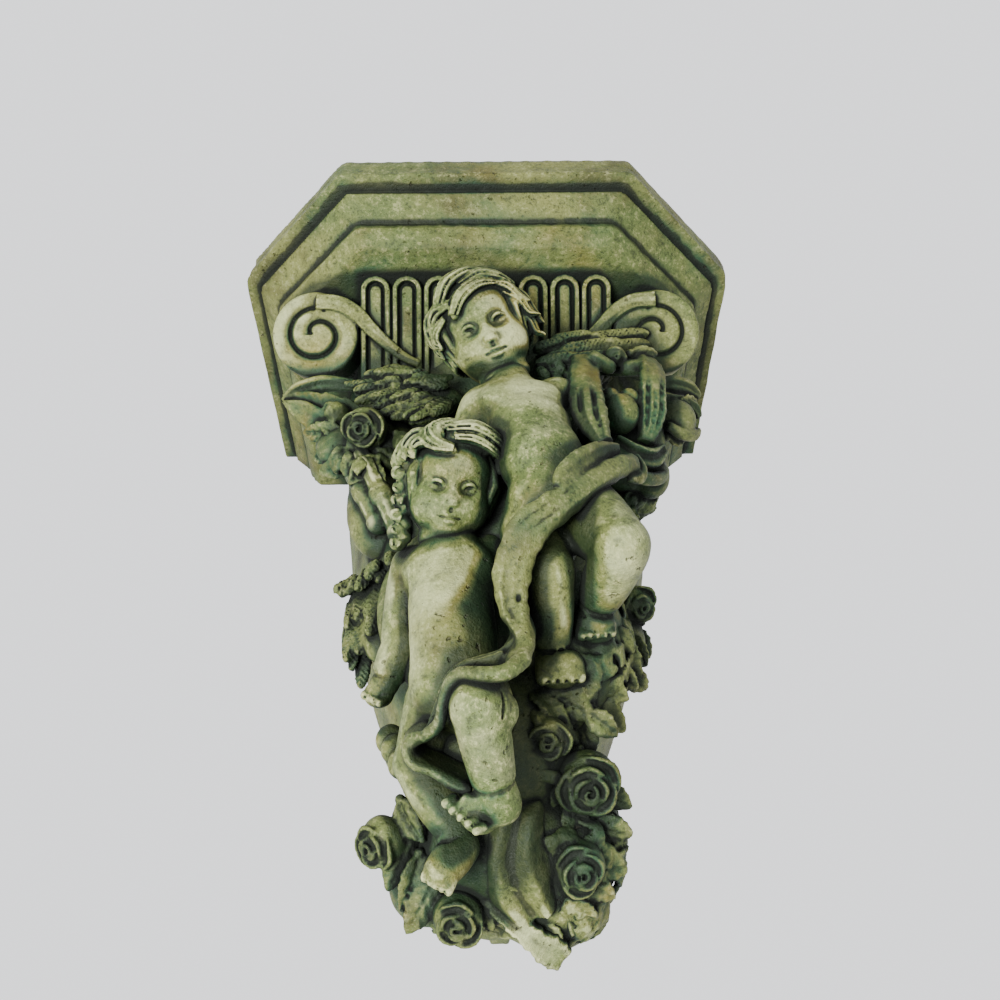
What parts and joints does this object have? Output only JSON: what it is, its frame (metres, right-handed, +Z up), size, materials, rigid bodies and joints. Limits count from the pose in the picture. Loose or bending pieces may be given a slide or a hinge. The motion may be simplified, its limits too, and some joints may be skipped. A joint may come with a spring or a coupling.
{
  "type": "angel figure corbel",
  "caption": "Wall corbel with a half-octagon shelf on a carved console with winged cherubs, drapery, volutes and roses, cast in one piece.",
  "frame": {"origin": "on the flat back, in the middle of the shelf's width and 75 mm below the shelf top", "axes": "+Z up, +Y out of the back into the wall, so the carved front faces -Y; +X to the viewer's right"},
  "size_m": [0.1354, 0.0964, 0.175],
  "materials": {
    "painted_cast_stone": "matt grey-green patina with near-black green in the recesses, pale rubbed high spots and ochre stains"
  },
  "bodies": {
    "root": {"corbel": "painted_cast_stone"}
  },
  "joints": []
}
